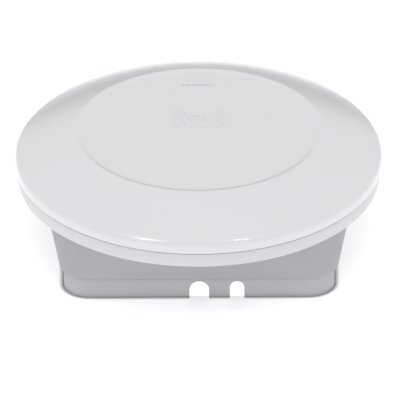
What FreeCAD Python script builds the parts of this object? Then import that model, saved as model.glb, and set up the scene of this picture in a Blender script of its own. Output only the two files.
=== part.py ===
import FreeCAD, Part
import math
import os
import re
import Sketcher

# Ceiling access point: a round radio housing that twists onto a square ceiling bracket.
# Millimetres. The origin is the centre of the bracket's ceiling face and +Z points away from the ceiling.
# The cable notches, the sockets and the reset button face -Y.

dimensions = {
    # round cover
    "cover_radius": 100.0,
    "cover_wall": 2.4,
    "cover_low": 42.1,
    "cover_edge_top": 46.2,
    "cover_edge_round": 4.0,
    "dome_radius": 128.0,
    "rim_radius": 66.8,
    "rim_height": 62.45,
    "dish_radius": 64.4,
    "dish_drop": 0.8,
    "dish_sphere": 2592.0,
    "rim_round": 2.5,
    "emblem_relief": 0.3,
    "emblem_line": 1.6,
    "emblem_y": 12.0,
    "light_bar_y": 49.4,
    "light_bar_length": 14.0,
    "light_bar_width": 1.6,
    "light_bar_top": 61.95,
    # white ring under the cover
    "bezel_low": 33.4,
    "bezel_high": 41.6,
    "bezel_low_radius": 98.5,
    "bezel_high_radius": 99.3,
    "bezel_floor": 2.0,
    "bezel_wall": 2.4,
    "bezel_window_half": 76.5,
    "bezel_window_corner": 40.0,
    # square tapered base
    "base_low": 11.3,
    "base_low_half": 75.8,
    "base_low_corner": 17.0,
    "base_top_half": 82.0,
    "base_top_corner": 44.0,
    "base_edge_round": 2.2,
    "base_wall": 2.4,
    "base_floor": 2.2,
    "boss_place": 58.0,
    "boss_radius": 4.5,
    "board_post_x": 57.0,
    "board_post_y": 18.0,
    "board_post_radius": 3.5,
    # recess for the plugs, in the underside of the base
    "bay_left": 22.0,
    "bay_right": 27.5,
    "bay_front": 67.5,
    "bay_back": 38.0,
    "bay_top": 29.4,
    "bay_skin": 1.4,
    "bay_wall": 2.0,
    # ceiling bracket
    "plinth_half": 73.4,
    "plinth_corner": 14.2,
    "plinth_height": 11.0,
    "plinth_wall": 2.4,
    "plate_thickness": 2.0,
    "wide_notch_width": 10.5,
    "narrow_notch_width": 7.7,
    "notch_height": 9.6,
    "narrow_notch_x": 20.5,
    "cable_hole_radius": 22.0,
    "pattern_y": 15.0,
    "anchor_spacing_x": 100.0,
    "anchor_spacing_y": 90.0,
    "anchor_hole_radius": 2.25,
    "box_spacing": 83.3,
    "box_hole_radius": 2.0,
    # twist lock
    "stud_place": 64.0,
    "stud_angle": 45.0,
    "twist_angle": 10.0,
    "stud_radius": 2.0,
    "stud_head_radius": 4.0,
    "stud_head_height": 2.5,
    "lock_play": 0.3,
    # circuit board and what stands on it
    "board_low": 31.0,
    "board_thickness": 1.6,
    "board_half": 62.0,
    "board_corner_cut": 18.0,
    "chip_thickness": 1.4,
    "can_height": 2.9,
    "can_sheet": 0.3,
    "can_width": 24.0,
    "radio_x": 30.0,
    "chips_y": 25.0,
    "processor_width": 19.0,
    "radio_width": 10.0,
    # heat sink
    "sink_top": 27.6,
    "sink_plate": 3.0,
    "sink_fin_depth": 6.0,
    "sink_half": 50.0,
    "sink_front": 8.0,
    "sink_back": 58.0,
    "sink_pin_x": 45.0,
    "sink_pin_inset": 4.0,
    # antennas
    "tray_radius": 72.0,
    "tray_low": 44.0,
    "tray_sheet": 0.8,
    "tray_rim": 3.0,
    "standoff_x": 36.0,
    "standoff_y": 30.0,
    "standoff_radius": 2.5,
    "antenna_place": 36.0,
    "antenna_sheet": 0.5,
    "antenna_width": 8.0,
    "lead_place": 26.0,
    "lead_radius": 0.7,
    "lead_bend": 4.0,
    "lead_height": 50.0,
    # sockets and button
    "jack_width": 16.0,
    "jack_depth": 21.0,
    "jack_height": 13.5,
    "plug_width": 11.9,
    "plug_height": 8.0,
    "plug_depth": 13.0,
    "plug_low": 19.3,
    "power_jack_width": 9.5,
    "power_jack_depth": 14.0,
    "power_jack_height": 11.0,
    "power_hole_radius": 3.1,
    "power_pin_radius": 1.0,
    "power_height": 25.4,
    "button_x": 15.0,
    "button_height": 22.5,
    "button_radius": 1.9,
    "button_travel": 0.8,
    # fasteners
    "screw_radius": 1.5,
    "screw_play": 0.1,
    "screw_head_radius": 2.8,
    "screw_head_height": 1.8,
}

doc = FreeCAD.newDocument("ceiling_access_point")
sheet = doc.addObject("Spreadsheet::Sheet", "Dims")
for row, (alias, size) in enumerate(dimensions.items(), start=1):
    sheet.set("A%d" % row, alias)
    sheet.set("B%d" % row, str(size))
    sheet.setAlias("B%d" % row, alias)
doc.recompute()

pieces = []
quarters = (0, 90, 180, 270)
corners = ((1, 1), (-1, 1), (-1, -1), (1, -1))


# ---- small tools: formulas, sketches and solids bound to the sheet

def linked(formula):
    """The formula with each dimension's name written as a cell of the sheet."""
    def cell(word):
        return "Dims." + word.group() if word.group() in dimensions else word.group()
    return re.sub(r"[a-z_]+", cell, str(formula))


def number(formula):
    value = sheet.evalExpression(linked(formula))
    return float(getattr(value, "Value", value))


def bind(thing, **formulas):
    for name, formula in formulas.items():
        thing.setExpression(name, linked(formula))


def place(thing, x, y, z):
    for axis, formula in zip("xyz", (x, y, z)):
        thing.setExpression("Placement.Base." + axis, linked(formula))


def turn(thing, angle):
    """Turns a thing about the vertical axis through its own origin."""
    thing.Placement.Rotation = FreeCAD.Rotation(FreeCAD.Vector(0, 0, 1), number(angle))


def piece(name, thing):
    thing.Label = name
    pieces.append(thing)
    return thing


def sketch_on(body, name, plane, offset="0"):
    sketch = body.newObject("Sketcher::SketchObject", name)
    role = [part for part in body.Origin.OriginFeatures if part.Role == plane][0]
    sketch.AttachmentSupport = [(role, "")]
    sketch.MapMode = "FlatFace"
    sketch.setExpression("AttachmentOffset.Base.z", linked(offset))
    return sketch


def arc_between(start, stop, radius, side):
    """Arc from start to stop; its centre is on the left for side 1 and on the right for side -1."""
    chord = stop - start
    rise = math.sqrt(radius ** 2 - (chord.Length / 2) ** 2)
    across = FreeCAD.Vector(-chord.y, chord.x, 0).normalize()
    centre = start + chord * 0.5 + across * (rise * side)
    first, last = (start, stop) if side > 0 else (stop, start)
    angles = [math.atan2(end.y - centre.y, end.x - centre.x) for end in (first, last)]
    circle = Part.Circle(centre, FreeCAD.Vector(0, 0, 1), radius)
    return Part.ArcOfCircle(circle, angles[0], angles[1])


def pin_point(sketch, edge, end, x, y):
    """Holds one end of a sketch edge at x, y, both formulas."""
    for formula, kind, axis in ((x, "DistanceX", -2), (y, "DistanceY", -1)):
        size = number(formula)
        if abs(size) < 1e-9:
            sketch.addConstraint(Sketcher.Constraint("PointOnObject", edge, end, axis))
        else:
            index = sketch.addConstraint(Sketcher.Constraint(kind, -1, 1, edge, end, size))
            sketch.setExpression("Constraints[%d]" % index, linked(formula))


def draw(sketch, outline):
    """Draws a closed outline. Each corner is (x, y), or (x, y, radius, side) where an arc leaves the corner."""
    points = [FreeCAD.Vector(number(corner[0]), number(corner[1]), 0) for corner in outline]
    edges = []
    for corner, start, stop in zip(outline, points, points[1:] + points[:1]):
        if len(corner) == 2:
            edge = sketch.addGeometry(Part.LineSegment(start, stop))
            edges.append((edge, 1, 2))
        else:
            radius, side = corner[2:]
            edge = sketch.addGeometry(arc_between(start, stop, number(radius), side))
            edges.append((edge, 1, 2) if side > 0 else (edge, 2, 1))
            held = sketch.addConstraint(Sketcher.Constraint("Radius", edge, number(radius)))
            sketch.setExpression("Constraints[%d]" % held, linked(radius))
        pin_point(sketch, edge, edges[-1][1], corner[0], corner[1])
    for (edge, _, last), (follower, begin, _) in zip(edges, edges[1:] + edges[:1]):
        sketch.addConstraint(Sketcher.Constraint("Coincident", edge, last, follower, begin))


def rounded_square(half, corner):
    """Outline of a square with round corners, anticlockwise from the middle of its -Y side."""
    inset = "%s - (%s)" % (half, corner)
    outline = []
    for sign_x, sign_y in ((1, -1), (1, 1), (-1, 1), (-1, -1)):
        flat = ("%d * (%s)" % (sign_x, inset), "%d * (%s)" % (sign_y, half))
        upright = ("%d * (%s)" % (sign_x, half), "%d * (%s)" % (sign_y, inset))
        if sign_x * sign_y < 0:
            outline += [flat + (corner, 1), upright]
        else:
            outline += [upright + (corner, 1), flat]
    return outline


def prism(name, outline, low, height):
    body = doc.addObject("PartDesign::Body", name)
    sketch = sketch_on(body, name + "_outline", "XY_Plane", low)
    draw(sketch, outline)
    pad = body.newObject("PartDesign::Pad", name + "_pad")
    pad.Profile = sketch
    bind(pad, Length=height)
    return body


def turned(name, outline):
    """A solid of revolution about Z; the outline is (radius, height)."""
    body = doc.addObject("PartDesign::Body", name)
    sketch = sketch_on(body, name + "_outline", "XZ_Plane")
    draw(sketch, outline)
    spin = body.newObject("PartDesign::Revolution", name + "_spin")
    spin.Profile = sketch
    spin.ReferenceAxis = (sketch, ["V_Axis"])
    spin.Angle = 360
    return body


def lofted(name, sections):
    """A straight-sided loft through sections of (height, outline), from the lowest up."""
    body = doc.addObject("PartDesign::Body", name)
    sketches = []
    for level, outline in sections:
        sketch = sketch_on(body, name + "_section", "XY_Plane", level)
        draw(sketch, outline)
        sketches.append(sketch)
    loft = body.newObject("PartDesign::AdditiveLoft", name + "_loft")
    loft.Profile = sketches[0]
    loft.Sections = sketches[1:]
    loft.Ruled = True
    return body


def round_edges(body, radius, chosen):
    """Rounds the edges of the body's last feature for which chosen(edge) is true."""
    doc.recompute()
    feature = body.Tip
    names = ["Edge%d" % (index + 1) for index, edge in enumerate(feature.Shape.Edges) if chosen(edge)]
    fillet = body.newObject("PartDesign::Fillet", body.Name + "_round")
    fillet.Base = (feature, names)
    bind(fillet, Radius=radius)


def block(name, x, y, low, length, width, height):
    """A box centred on x, y and standing on low."""
    box = doc.addObject("Part::Box", name)
    bind(box, Length=length, Width=width, Height=height)
    place(box, "(%s) - (%s) / 2" % (x, length), "(%s) - (%s) / 2" % (y, width), low)
    return box


def rod(name, x, y, low, radius, height):
    """An upright cylinder."""
    cylinder = doc.addObject("Part::Cylinder", name)
    bind(cylinder, Radius=radius, Height=height)
    place(cylinder, x, y, low)
    return cylinder


def rod_back(name, x, front, z, radius, length):
    """A cylinder that runs towards +Y from front."""
    cylinder = doc.addObject("Part::Cylinder", name)
    cylinder.Placement.Rotation = FreeCAD.Rotation(FreeCAD.Vector(1, 0, 0), -90)
    bind(cylinder, Radius=radius, Height=length)
    place(cylinder, x, front, z)
    return cylinder


def joined(name, parts):
    fuse = doc.addObject("Part::MultiFuse", name)
    fuse.Shapes = parts
    return fuse


def carved(name, base, tools):
    cut = doc.addObject("Part::Cut", name)
    cut.Base = base
    cut.Tool = tools[0] if len(tools) == 1 else joined(name + "_tools", tools)
    return cut


def together(name, parts):
    """Separate solids that share one node."""
    group = doc.addObject("Part::Compound", name)
    group.Links = parts
    return group


def screws(name, places, under_head, length, head_radius="screw_head_radius", downwards=True):
    """Pan-head screws; under_head is the height of the face that the heads bear on."""
    parts = []
    for x, y in places:
        shank_low = "(%s) - (%s)" % (under_head, length) if downwards else under_head
        head_low = under_head if downwards else "(%s) - screw_head_height" % under_head
        shank = rod(name + "_shank", x, y, shank_low, "screw_radius", length)
        head = rod(name + "_head", x, y, head_low, head_radius, "screw_head_height")
        parts.append(joined(name + "_one", [shank, head]))
    return together(name, parts)


def four(x, y):
    return [("%d * (%s)" % (sign_x, x), "%d * (%s)" % (sign_y, y)) for sign_x, sign_y in corners]


# ---- ceiling bracket

def notch(name, x, width):
    """A cable notch in the bracket's front wall: open at the ceiling face, round at its other end."""
    front = "-plinth_half - 1"
    depth = "plinth_half - bay_front + 5"
    straight = block(name + "_slot", x, "%s + (%s) / 2" % (front, depth), "-1", width, depth,
                     "notch_height - %s / 2 + 1" % width)
    arch = rod_back(name + "_arch", x, front, "notch_height - %s / 2" % width, "%s / 2" % width, depth)
    return [straight, arch]


def mounting_bracket():
    tray = prism("bracket_tray", rounded_square("plinth_half", "plinth_corner"), "0", "plinth_height")
    inside = prism("bracket_inside", rounded_square("plinth_half - plinth_wall", "plinth_corner - plinth_wall"),
                   "plate_thickness", "plinth_height")
    window = block("cable_window", "(bay_right - bay_left) / 2", "-(bay_front + bay_back - 14) / 2", "-1",
                   "bay_left + bay_right", "bay_front - bay_back + 6", "plate_thickness + 2")
    hole = rod("cable_hole", "0", "pattern_y", "-1", "cable_hole_radius", "plate_thickness + 2")
    tools = [inside, window, hole]
    tools += notch("wide_notch", "0", "wide_notch_width")
    tools += notch("narrow_notch", "narrow_notch_x", "narrow_notch_width")
    for sign_x, sign_y in corners:
        tools.append(rod("anchor_hole", "%d * anchor_spacing_x / 2" % sign_x,
                         "pattern_y + %d * anchor_spacing_y / 2" % sign_y, "-1", "anchor_hole_radius",
                         "plate_thickness + 2"))
    for sign_x in (1, -1):
        tools.append(rod("box_hole", "%d * box_spacing / 2" % sign_x, "pattern_y", "-1", "box_hole_radius",
                         "plate_thickness + 2"))
    return piece("mounting_bracket", carved("bracket", tray, tools))


def lock_studs():
    studs = []
    head_low = "base_low + base_floor + lock_play"
    for quarter in quarters:
        x = "stud_place * cos(stud_angle + %d)" % quarter
        y = "stud_place * sin(stud_angle + %d)" % quarter
        foot = rod("stud_foot", x, y, "plate_thickness", "stud_radius + 1.5", "1.2")
        shank = rod("stud_shank", x, y, "plate_thickness", "stud_radius", "%s - plate_thickness" % head_low)
        head = rod("stud_head", x, y, head_low, "stud_head_radius", "stud_head_height")
        studs.append(joined("stud", [foot, shank, head]))
    return piece("lock_studs", together("studs", studs))


# ---- base housing

def keyhole(name, quarter):
    """A curved slot for one stud; its wide end lets the stud's head through."""
    low = "base_low - 1"
    height = "base_floor + 2"
    start = "stud_angle - twist_angle + %d" % quarter
    outer = rod(name + "_outer", "0", "0", low, "stud_place + stud_radius + lock_play", height)
    inner = rod(name + "_inner", "0", "0", low, "stud_place - stud_radius - lock_play", height)
    for sector in (outer, inner):
        turn(sector, start)
        bind(sector, Angle="twist_angle")
    arc = carved(name + "_arc", outer, [inner])
    ends = []
    for angle, radius in (("stud_angle", "stud_radius + lock_play"),
                          ("(stud_angle - twist_angle)", "stud_head_radius + lock_play")):
        ends.append(rod(name + "_end", "stud_place * cos(%s + %d)" % (angle, quarter),
                        "stud_place * sin(%s + %d)" % (angle, quarter), low, radius, height))
    return [arc] + ends


def base_housing():
    sections = []
    for angle in (0, 30, 60, 90):
        inset = "base_edge_round * (1 - sin(%d))" % angle
        sections.append(("base_low + base_edge_round * (1 - cos(%d))" % angle,
                         rounded_square("base_low_half - %s" % inset, "base_low_corner - %s" % inset)))
    sections.append(("bezel_low", rounded_square("base_top_half", "base_top_corner")))
    outer = lofted("base_outer", sections)
    inner = lofted("base_inner", [
        ("base_low + base_floor", rounded_square("base_low_half - base_wall + 0.4",
                                                 "base_low_corner - base_wall + 2")),
        ("bezel_low + 0.5", rounded_square("base_top_half - base_wall + 0.1", "base_top_corner - base_wall + 0.7")),
    ])
    shell = carved("base_shell", outer, [inner])

    post_low = "base_low + base_floor / 2"
    parts = [shell]
    for x, y in four("boss_place", "boss_place"):
        parts.append(rod("housing_boss", x, y, post_low, "boss_radius", "bezel_low - 0.4 - (%s)" % post_low))
    for x, y in four("board_post_x", "board_post_y"):
        parts.append(rod("board_post", x, y, post_low, "board_post_radius", "board_low - (%s)" % post_low))
    bay_x = "(bay_right - bay_left) / 2"
    bay_y = "-(bay_front + bay_back) / 2"
    parts.append(block("bay_skin", bay_x, bay_y, post_low, "bay_left + bay_right + 2 * bay_wall",
                       "bay_front - bay_back + 2 * bay_wall", "bay_top + bay_skin - (%s)" % post_low))
    solid = joined("base_solid", parts)

    tools = [block("bay_room", bay_x, bay_y, "base_low - 1", "bay_left + bay_right", "bay_front - bay_back",
                   "bay_top - base_low + 1")]
    wall_y = "-bay_back + bay_wall / 2"
    tools.append(block("jack_window", "0", wall_y, "board_low - jack_height - 0.2", "jack_width + 0.3",
                       "bay_wall", "jack_height + 1"))
    tools.append(block("power_window", "narrow_notch_x", wall_y, "board_low - power_jack_height - 0.2",
                       "power_jack_width + 0.3", "bay_wall", "power_jack_height + 1"))
    tools.append(rod_back("button_hole", "-button_x", "-bay_back - 1", "button_height",
                          "button_radius + lock_play", "bay_wall + 2"))
    for x, y in four("boss_place", "boss_place"):
        tools.append(rod("boss_hole", x, y, "base_low - 1", "screw_radius + screw_play", "30"))
        tools.append(rod("boss_recess", x, y, "base_low - 1", "screw_head_radius + 0.3", "4.2"))
    for x, y in four("board_post_x", "board_post_y"):
        tools.append(rod("post_hole", x, y, "board_low - 9", "screw_radius + screw_play", "10"))
    for quarter in quarters:
        tools += keyhole("keyhole", quarter)
    return piece("base_housing", carved("base", solid, tools))


def rating_label():
    return piece("blank_label", block("label", "-26", "18", "base_low - 0.15", "44", "24", "0.15"))


# ---- white ring and cover

def bezel_ring():
    inner_radius = "bezel_high_radius - bezel_wall"
    profile = [
        ("60", "bezel_low"),
        ("bezel_low_radius - 0.7", "bezel_low"),
        ("bezel_low_radius", "bezel_low + 0.7"),
        ("bezel_high_radius", "bezel_high"),
        (inner_radius, "bezel_high"),
        (inner_radius, "bezel_high + bezel_wall"),
        (inner_radius + " - 1.6", "bezel_high + bezel_wall"),
        (inner_radius + " - 1.6", "bezel_low + bezel_floor"),
        ("60", "bezel_low + bezel_floor"),
    ]
    ring = turned("bezel_turned", profile)
    window = prism("bezel_window", rounded_square("bezel_window_half", "bezel_window_corner"),
                   "bezel_low - 1", "bezel_floor + 2")
    return piece("bezel_ring", carved("bezel", ring, [window]))


def dome_profile(wall):
    """The cover's outline, moved inwards by wall; the dome meets the edge round where it slopes 30 degrees."""
    edge = "(cover_radius - %s)" % wall
    side_top = "(cover_edge_top)"
    return [
        (edge, "cover_edge_top", "cover_edge_round - %s / 2" % wall, 1),
        ("%s - (cover_edge_round - %s / 2) * 0.5" % (edge, wall),
         "%s + (cover_edge_round - %s / 2) * 0.866" % (side_top, wall), "dome_radius", 1),
        ("rim_radius", "rim_height - %s" % wall),
        ("dish_radius", "rim_height - dish_drop - %s" % wall, "dish_sphere", 1),
        ("0", "rim_height - %s" % wall),
    ]


def emblem_parts():
    """A generic radio-wave sign in low relief: a dot between three pairs of arcs."""
    low = "rim_height - cover_wall / 2"
    height = "cover_wall / 2 + emblem_relief"
    parts = [rod("emblem_dot", "0", "emblem_y", low, "emblem_line * 1.4", height)]
    for ring_number in (1, 2, 3):
        radius = "%d * emblem_line * 3" % ring_number
        outer = rod("wave_outer", "0", "emblem_y", low, "%s + emblem_line / 2" % radius, height)
        inner = rod("wave_inner", "0", "emblem_y", low, "%s - emblem_line / 2" % radius, height)
        ring = carved("wave_ring", outer, [inner])
        for side in (0, 180):
            wedge = rod("wave_wedge", "0", "emblem_y", low, "emblem_line * 12", height)
            turn(wedge, "%d - 42" % side)
            bind(wedge, Angle="84")
            arc = doc.addObject("Part::Common", "wave")
            arc.Base = ring
            arc.Tool = wedge
            parts.append(arc)
    return parts


def light_slot(name, low, height, play):
    """A bar with round ends, as the light bar has, widened all round by play."""
    width = "light_bar_width + 2 * %s" % play
    reach = "(light_bar_length - light_bar_width) / 2"
    parts = [block(name + "_bar", "0", "light_bar_y", low, "2 * %s" % reach, width, height)]
    for side in (1, -1):
        parts.append(rod(name + "_end", "%d * %s" % (side, reach), "light_bar_y", low,
                         "(%s) / 2" % width, height))
    return parts


def top_cover():
    outside = turned("cover_outside", [("0", "cover_low"), ("cover_radius - 0.5", "cover_low"),
                                       ("cover_radius", "cover_low + 0.5")] + dome_profile("0"))
    inside = turned("cover_inside", [("0", "cover_low - 1"), ("cover_radius - cover_wall", "cover_low - 1")]
                    + dome_profile("cover_wall"))

    def on_rim(edge):
        bounds = edge.BoundBox
        reach = max(bounds.XMax, -bounds.XMin)
        on_circle = min(abs(reach - number(radius)) for radius in ("rim_radius", "dish_radius")) < 0.01
        return on_circle and bounds.ZLength < 0.01
    round_edges(outside, "rim_round", on_rim)

    low = "bezel_low"
    tall = [rod("cover_post", x, y, low, "boss_radius - 0.5", "rim_height - bezel_low")
            for x, y in four("boss_place", "boss_place")]
    short = [rod("cover_foot", x, y, low, "boss_radius - 0.5", "cover_low + 2 - bezel_low")
             for x, y in four("boss_place", "boss_place")]
    room = carved("cover_room", inside, tall)
    shell = carved("cover_shell", outside, [room])
    whole = joined("cover_whole", [shell] + short + emblem_parts())
    tools = light_slot("light_slot", "rim_height - 10", "20", "0.15")
    for side in (1, -1):
        tools.append(rod("light_dot", "%d * (light_bar_length / 2 + 1.6)" % side, "light_bar_y",
                         "rim_height - 2", "0.5", "4"))
    for x, y in four("boss_place", "boss_place"):
        tools.append(rod("cover_post_hole", x, y, "bezel_low - 1", "screw_radius + screw_play", "13"))
    return piece("top_cover", carved("cover", whole, tools))


# ---- circuit board, chips and heat sink

def main_board():
    half = "board_half"
    cut = "board_half - board_corner_cut"
    outline = [(cut, "-" + half), (half, "-(%s)" % cut), (half, cut), (cut, half),
               ("-(%s)" % cut, half), ("-" + half, cut), ("-" + half, "-(%s)" % cut), ("-(%s)" % cut, "-" + half)]
    sheet_body = prism("board_blank", outline, "board_low", "board_thickness")
    holes = [rod("board_hole", x, y, "board_low - 1", "screw_radius + screw_play", "4")
             for x, y in four("board_post_x", "board_post_y")]
    holes += [rod("board_pin_hole", x, y, "board_low - 1", "1.3", "4") for x, y in sink_pin_places()]
    return piece("main_board", carved("board", sheet_body, holes))


def sink_pin_places():
    rows = ("-sink_front + sink_pin_inset", "sink_back - sink_pin_inset")
    return [("%d * sink_pin_x" % side, row) for side in (1, -1) for row in rows]


def chip(name, x, y, width, length, thickness="chip_thickness"):
    """A chip soldered to the board's lower face."""
    return piece(name, block(name + "_block", x, y, "board_low - (%s)" % thickness, width, length, thickness))


def shield_can(name, x):
    outer = block(name + "_outer", x, "chips_y", "board_low - can_height", "can_width", "can_width", "can_height")
    inner = block(name + "_inner", x, "chips_y", "board_low - can_height + can_sheet",
                  "can_width - 2 * can_sheet", "can_width - 2 * can_sheet", "can_height")
    return piece(name, carved(name + "_can", outer, [inner]))


def thermal_pads():
    pads = [block("processor_pad", "0", "chips_y", "sink_top", "processor_width", "processor_width",
                  "board_low - chip_thickness - sink_top")]
    can_low = "board_low - can_height"
    for side in (1, -1):
        x = "%d * radio_x" % side
        pads.append(block("can_pad", x, "chips_y", "sink_top", "can_width - 2", "can_width - 2",
                          "%s - sink_top" % can_low))
        pads.append(block("radio_pad", x, "chips_y", "%s + can_sheet" % can_low, "radio_width", "radio_width",
                          "can_height - can_sheet - chip_thickness"))
    return piece("thermal_pads", together("pads", pads))


def heat_sink():
    depth = "sink_front + sink_back"
    middle = "(sink_back - sink_front) / 2"
    plate_low = "sink_top - sink_plate"
    parts = [block("sink_plate", "0", middle, plate_low, "2 * sink_half", depth, "sink_plate")]
    fins = 9
    for index in range(fins):
        x = "(%d) * 2 * (sink_half - 12) / %d" % (index - fins // 2, fins - 1)
        parts.append(block("sink_fin", x, middle, "%s - sink_fin_depth" % plate_low, "1.6", depth,
                           "sink_fin_depth + 1"))
    holes = [rod("sink_pin_hole", x, y, "%s - 1" % plate_low, "1.3", "sink_plate + 2")
             for x, y in sink_pin_places()]
    return piece("heat_sink", carved("sink", joined("sink_solid", parts), holes))


def heat_sink_pins():
    pins = []
    plate_low = "sink_top - sink_plate"
    for x, y in sink_pin_places():
        head = rod("pin_head", x, y, "%s - 1.5" % plate_low, "2.4", "1.5")
        shank = rod("pin_shank", x, y, plate_low, "1.15", "board_low + board_thickness - (%s)" % plate_low)
        barb = doc.addObject("Part::Cone", "pin_barb")
        bind(barb, Radius1="1.7", Radius2="0.8", Height="2")
        place(barb, x, y, "board_low + board_thickness")
        pins.append(joined("pin", [head, shank, barb]))
    return piece("heat_sink_pins", together("pins", pins))


def on_board(name, x, y, width, length, height):
    """A component soldered to the board's upper face."""
    return block(name, x, y, "board_low + board_thickness", width, length, height)


def power_parts():
    rows = range(3)
    coils = [on_board("inductor", "%d - 10 * %d" % (-28, index), "-48", "7", "7", "4") for index in rows[:2]]
    piece("power_inductors", together("inductors", coils))
    cans = [rod("capacitor", "%d + 8 * %d" % (31, index), "-50", "board_low + board_thickness", "3.15", "8")
            for index in rows]
    piece("capacitors", together("capacitor_row", cans))
    piece("network_transformer", on_board("transformer", "0", "-46", "14", "10", "5"))
    piece("power_transformer", on_board("converter", "18", "-50", "13", "11", "9"))
    piece("flash_chip", on_board("flash", "-20", "-34", "8", "6", "1"))
    piece("clock_crystal", on_board("crystal", "14", "-30", "5", "3.2", "1"))


# ---- antennas

def antenna_tray():
    tray = turned("tray_turned", [
        ("0", "tray_low"),
        ("tray_radius", "tray_low"),
        ("tray_radius", "tray_low + tray_rim"),
        ("tray_radius - tray_sheet", "tray_low + tray_rim"),
        ("tray_radius - tray_sheet", "tray_low + tray_sheet"),
        ("0", "tray_low + tray_sheet"),
    ])
    holes = [block("tray_light_hole", "0", "light_bar_y", "tray_low - 1", "18", "6", "3")]
    for quarter in quarters:
        holes.append(rod("tray_lead_hole", "lead_place * cos(%d)" % quarter, "lead_place * sin(%d)" % quarter,
                         "tray_low - 1", "2.5", "3"))
    holes += [rod("tray_screw_hole", x, y, "tray_low - 1", "screw_radius + screw_play", "3")
              for x, y in four("standoff_x", "standoff_y")]
    return piece("antenna_tray", carved("tray", tray, holes))


def standoffs():
    low = "board_low + board_thickness"
    parts = []
    for x, y in four("standoff_x", "standoff_y"):
        post = rod("standoff_post", x, y, low, "standoff_radius", "tray_low - (%s)" % low)
        bore = rod("standoff_bore", x, y, "tray_low - 7", "screw_radius + screw_play", "8")
        parts.append(carved("standoff", post, [bore]))
    return piece("tray_standoffs", together("standoff_set", parts))


def antenna(name, quarter, length, height):
    """A folded strip antenna: a foot on the tray, an upright fed by the coaxial lead and a flat top arm."""
    floor = "tray_low + tray_sheet"
    sheet_size = "antenna_sheet"
    foot = block(name + "_foot", "antenna_place + 3", "0", floor, "6", "antenna_width", sheet_size)
    wall = block(name + "_wall", "antenna_place + %s / 2" % sheet_size, "0", floor, sheet_size,
                 "antenna_width", height)
    arm = block(name + "_arm", "antenna_place + antenna_width / 2", "0",
                "%s + %s - %s" % (floor, height, sheet_size), "antenna_width", length, sheet_size)
    strip = joined(name + "_strip", [foot, wall, arm])
    turn(strip, quarter)
    return piece(name, strip)


def antenna_leads():
    """Coaxial leads: up from the board through the tray, round one bend and into the antenna's upright."""
    leads = []
    socket_top = "board_low + board_thickness + 1.6"
    for quarter in quarters:
        lower = rod("lead_rise", "lead_place", "0", socket_top, "lead_radius",
                    "lead_height - lead_bend - (%s)" % socket_top)
        bend = doc.addObject("Part::Torus", "lead_bend")
        bind(bend, Radius1="lead_bend", Radius2="lead_radius", Angle3="90")
        bend.Placement.Rotation = FreeCAD.Rotation(FreeCAD.Vector(-1, 0, 0), FreeCAD.Vector(0, 0, 1),
                                                   FreeCAD.Vector(0, 1, 0))
        place(bend, "lead_place + lead_bend", "0", "lead_height - lead_bend")
        run = doc.addObject("Part::Cylinder", "lead_run")
        run.Placement.Rotation = FreeCAD.Rotation(FreeCAD.Vector(0, 1, 0), 90)
        bind(run, Radius="lead_radius", Height="antenna_place - lead_place - lead_bend")
        place(run, "lead_place + lead_bend", "0", "lead_height")
        lead = joined("lead", [lower, bend, run])
        turn(lead, quarter)
        leads.append(lead)
    return piece("antenna_leads", together("lead_set", leads))


def coax_sockets():
    sockets = [on_board("coax_socket", "lead_place * cos(%d)" % quarter, "lead_place * sin(%d)" % quarter,
                        "3", "3", "1.6") for quarter in quarters]
    return piece("coax_sockets", together("socket_set", sockets))


# ---- indicator light

def light_parts():
    piece("status_led", on_board("led", "0", "light_bar_y", "3.2", "1.6", "0.8"))
    stem_low = "board_low + board_thickness + 1.2"
    parts = light_slot("light_head", "light_bar_top - 6", "6", "0")
    parts.append(rod("light_stem", "0", "light_bar_y", stem_low, "1.5", "light_bar_top - 4 - (%s)" % stem_low))
    head_only = joined("light_guide", parts[:-1])
    return piece("light_pipe", joined("light_whole", [head_only, parts[-1]]))


# ---- sockets and reset button

def ethernet_jack():
    low = "board_low - jack_height"
    shell = block("jack_shell", "0", "-bay_back + jack_depth / 2", low, "jack_width", "jack_depth", "jack_height")
    mouth = block("jack_mouth", "0", "-bay_back + plug_depth / 2 - 0.5", "plug_low", "plug_width",
                  "plug_depth + 1", "plug_height")
    latch = block("jack_latch", "0", "-bay_back + plug_depth / 2 - 0.5", "plug_low - 1.2", "6",
                  "plug_depth + 1", "1.4")
    jack = piece("ethernet_jack", carved("jack", shell, [mouth, latch]))
    wires = [block("contact", "%d * 1.27 / 2" % (2 * index - 7), "-bay_back + 7", "plug_low + plug_height - 1.2",
                   "0.5", "9", "1.2") for index in range(8)]
    piece("ethernet_contacts", together("contact_row", wires))
    return jack


def power_jack():
    low = "board_low - power_jack_height"
    shell = block("power_shell", "narrow_notch_x", "-bay_back + power_jack_depth / 2", low, "power_jack_width",
                  "power_jack_depth", "power_jack_height")
    bore = rod_back("power_bore", "narrow_notch_x", "-bay_back - 1", "power_height", "power_hole_radius", "12")
    piece("power_jack", carved("power_body", shell, [bore]))
    pin = rod_back("power_pin_rod", "narrow_notch_x", "-bay_back + 1", "power_height", "power_pin_radius", "10")
    return piece("power_pin", pin)


def reset_parts():
    cap = rod_back("button_cap", "-button_x", "-bay_back - 1", "button_height", "button_radius", "bay_wall + 1.5")
    flange = rod_back("button_flange", "-button_x", "-bay_back + bay_wall + 0.1", "button_height",
                      "button_radius + 0.9", "1")
    piece("reset_button", joined("button", [cap, flange]))
    front = "-bay_back + bay_wall + 1.1 + button_travel + 0.3"
    body = block("switch_body", "-button_x", "%s + 2" % front, "button_height - 3", "6", "4",
                 "board_low - button_height + 3")
    return piece("reset_switch", body)


# ---- the whole access point

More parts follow.
